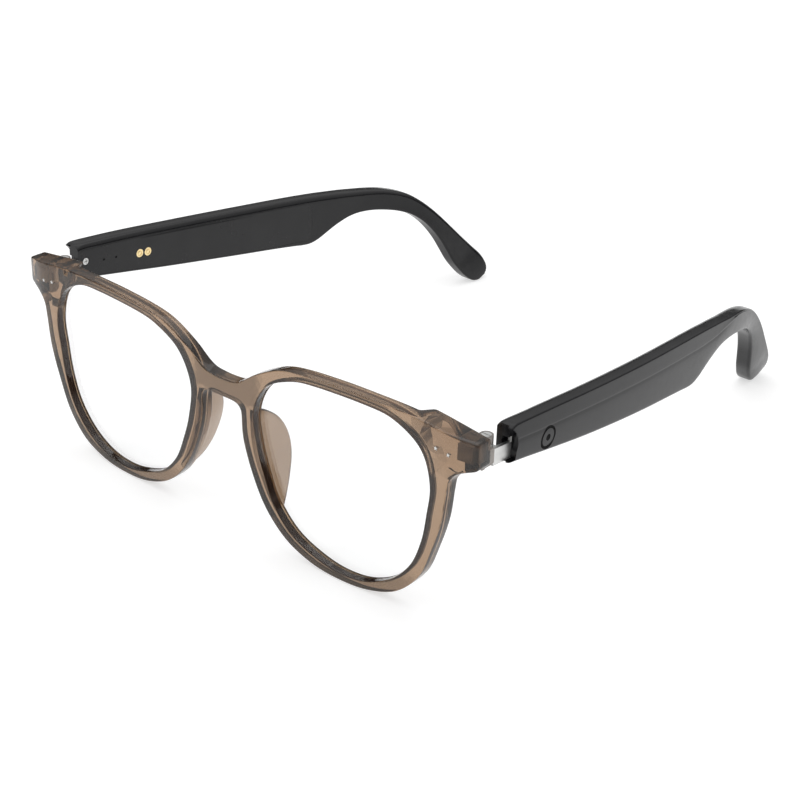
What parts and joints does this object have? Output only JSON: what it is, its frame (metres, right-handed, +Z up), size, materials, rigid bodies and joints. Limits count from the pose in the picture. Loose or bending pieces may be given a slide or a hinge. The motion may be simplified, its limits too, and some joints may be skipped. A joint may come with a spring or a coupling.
{
  "type": "smart glasses",
  "caption": "Smart glasses: translucent brown front with built-in nose pads, clear lenses and thick black powered temples that fold on steel hinges.",
  "frame": {"origin": "middle of the box's underside, on the surface that the rims and the ear tips rest on", "axes": "+Z up; +Y from the front towards the ear tips; +X towards the wearer's left"},
  "size_m": [0.1468, 0.1656, 0.0505],
  "materials": {
    "front_plastic": "translucent warm brown, polished",
    "clear_lens": "clear, polished, thin anti-reflection coat",
    "temple_plastic": "black, glossy moulded",
    "cover_plastic": "black, satin moulded",
    "mark_ink": "black, recessed",
    "dark_steel": "dark plated steel",
    "bright_steel": "bright satin steel",
    "gold": "gold plated",
    "magnet": "nickel plated",
    "circuit_board": "green solder mask",
    "cell_wrap": "grey foil wrap",
    "flex": "amber polyimide",
    "inner_plastic": "dark moulded",
    "light_pipe": "milky, clear"
  },
  "bodies": {
    "front": {"front_frame": "front_plastic", "lens_left": "clear_lens", "lens_right": "clear_lens", "hinge_base_left": "dark_steel", "hinge_base_right": "dark_steel", "front_pins_left": "bright_steel", "front_pins_right": "bright_steel", "hinge_screw_left": "bright_steel", "hinge_screw_right": "bright_steel"},
    "temple_left": {"temple_shell_left": "temple_plastic", "temple_cover_left": "cover_plastic", "hinge_arm_left": "bright_steel", "tongue_screw_left": "bright_steel", "charge_contacts_left": "gold", "contact_holder_left": "inner_plastic", "charge_magnets_left": "magnet", "main_board_left": "circuit_board", "board_chips_left": "inner_plastic", "battery_left": "cell_wrap", "inner_flex_left": "flex", "speaker_case_left": "inner_plastic", "speaker_magnet_left": "magnet", "speaker_cone_left": "inner_plastic", "speaker_mesh_left": "dark_steel", "microphone_left": "gold", "status_light_left": "light_pipe", "touch_sensor_left": "flex", "antenna_left": "gold", "tip_core_left": "bright_steel", "touch_mark_left": "mark_ink"},
    "temple_right": {"temple_shell_right": "temple_plastic", "temple_cover_right": "cover_plastic", "hinge_arm_right": "bright_steel", "tongue_screw_right": "bright_steel", "charge_contacts_right": "gold", "contact_holder_right": "inner_plastic", "charge_magnets_right": "magnet", "main_board_right": "circuit_board", "board_chips_right": "inner_plastic", "battery_right": "cell_wrap", "inner_flex_right": "flex", "speaker_case_right": "inner_plastic", "speaker_magnet_right": "magnet", "speaker_cone_right": "inner_plastic", "speaker_mesh_right": "dark_steel", "microphone_right": "gold", "status_light_right": "light_pipe", "touch_sensor_right": "flex", "antenna_right": "gold", "tip_core_right": "bright_steel"}
  },
  "joints": [
    {"name": "fold_left", "type": "hinge", "parent": "front", "child": "temple_left", "pos_m": [0.069, -0.0707, 0.0427], "axis": [0, 0, 1], "range_deg": [0, 85.5]},
    {"name": "fold_right", "type": "hinge", "parent": "front", "child": "temple_right", "pos_m": [-0.069, -0.0707, 0.0427], "axis": [0, 0, -1], "range_deg": [0, 76]}
  ]
}
